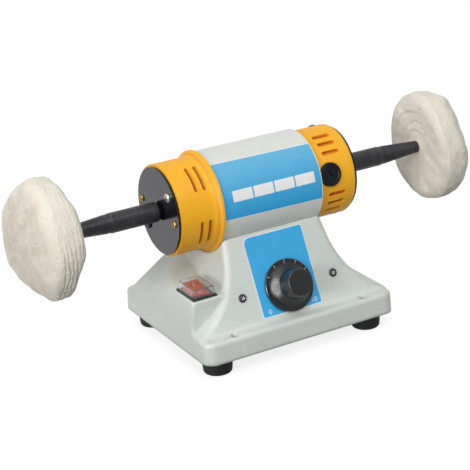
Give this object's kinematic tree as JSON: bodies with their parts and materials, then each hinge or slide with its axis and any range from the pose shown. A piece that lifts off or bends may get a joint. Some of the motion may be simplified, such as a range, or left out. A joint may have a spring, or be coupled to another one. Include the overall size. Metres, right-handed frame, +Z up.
{
  "type": "bench polisher",
  "caption": "Twin-ended bench polishing motor on a bell-shaped housing with tapered spindles, cloth buffs, a covered rocker switch and a speed knob.",
  "frame": {"origin": "under the middle of the housing, on the surface that the feet stand on", "axes": "+X along the motor to the right as seen from the front, -Y to the front where the knob is, +Z up"},
  "size_m": [0.3816, 0.147, 0.1607],
  "materials": {
    "light_grey_enamel": "satin",
    "tube_enamel": "satin",
    "yellow_enamel": "satin",
    "black_gloss": "gloss",
    "black_matte": "matte",
    "black_rubber": "matte",
    "zinc_steel": "zinc plated",
    "screw_steel": "plated",
    "black_steel": "blackened",
    "bright_steel": "ground",
    "bearing_steel": "polished",
    "core_steel": "laminated",
    "copper_wire": "lacquered",
    "yellow_brass": "plain",
    "carbon": "matte",
    "brown_resin": "satin",
    "cotton": "soft",
    "plain_aluminium": "satin",
    "green_board": "satin",
    "red_plastic": "gloss",
    "clear_vinyl": "clear"
  },
  "bodies": {
    "base": {"base_housing": "light_grey_enamel", "bottom_plate": "zinc_steel", "rubber_feet": "black_rubber", "foot_screws": "screw_steel", "motor_tube": "tube_enamel", "motor_bolts": "screw_steel", "motor_nuts": "screw_steel", "left_end_cap": "yellow_enamel", "right_end_cap": "yellow_enamel", "left_end_plate": "black_gloss", "right_end_plate": "black_gloss", "plate_bolts": "screw_steel", "plate_screws": "yellow_brass", "cap_screws": "black_steel", "bearing_outer_rings": "bearing_steel", "field_core": "core_steel", "field_coils": "copper_wire", "brush_holders": "brown_resin", "carbon_brushes": "carbon", "brush_springs": "bright_steel", "brush_caps": "black_matte", "front_screws": "screw_steel", "control_bracket": "plain_aluminium", "potentiometer": "plain_aluminium", "potentiometer_nut": "screw_steel", "board_spacers": "yellow_brass", "control_board": "green_board", "board_components": "black_gloss", "switch_body": "black_gloss", "switch_cover": "clear_vinyl", "cord_gland": "black_matte", "gland_nut": "black_matte"},
    "rotor": {"motor_shaft": "bright_steel", "armature_core": "core_steel", "armature_windings": "copper_wire", "commutator": "copper_wire", "cooling_fan": "black_matte", "bearing_inner_rings": "bearing_steel", "left_spindle": "black_steel", "right_spindle": "black_steel", "grub_screws": "black_steel", "left_buff": "cotton", "right_buff": "cotton"},
    "knob": {"speed_knob": "black_matte", "potentiometer_shaft": "bright_steel"},
    "rocker": {"switch_rocker": "red_plastic"}
  },
  "joints": [
    {"name": "rotor_spin", "type": "hinge", "parent": "base", "child": "rotor", "pos_m": [0, 0, 0.1157], "axis": [1, 0, 0], "continuous": true},
    {"name": "knob_turn", "type": "hinge", "parent": "base", "child": "knob", "pos_m": [0, -0.05135, 0.0512], "axis": [0, -0.9049, 0.4257], "range_deg": [-30, 240]},
    {"name": "rocker_tip", "type": "hinge", "parent": "base", "child": "rocker", "pos_m": [-0.0689, -0.0329, 0.0576], "axis": [1, 0, 0], "range_deg": [-20, 0]}
  ]
}
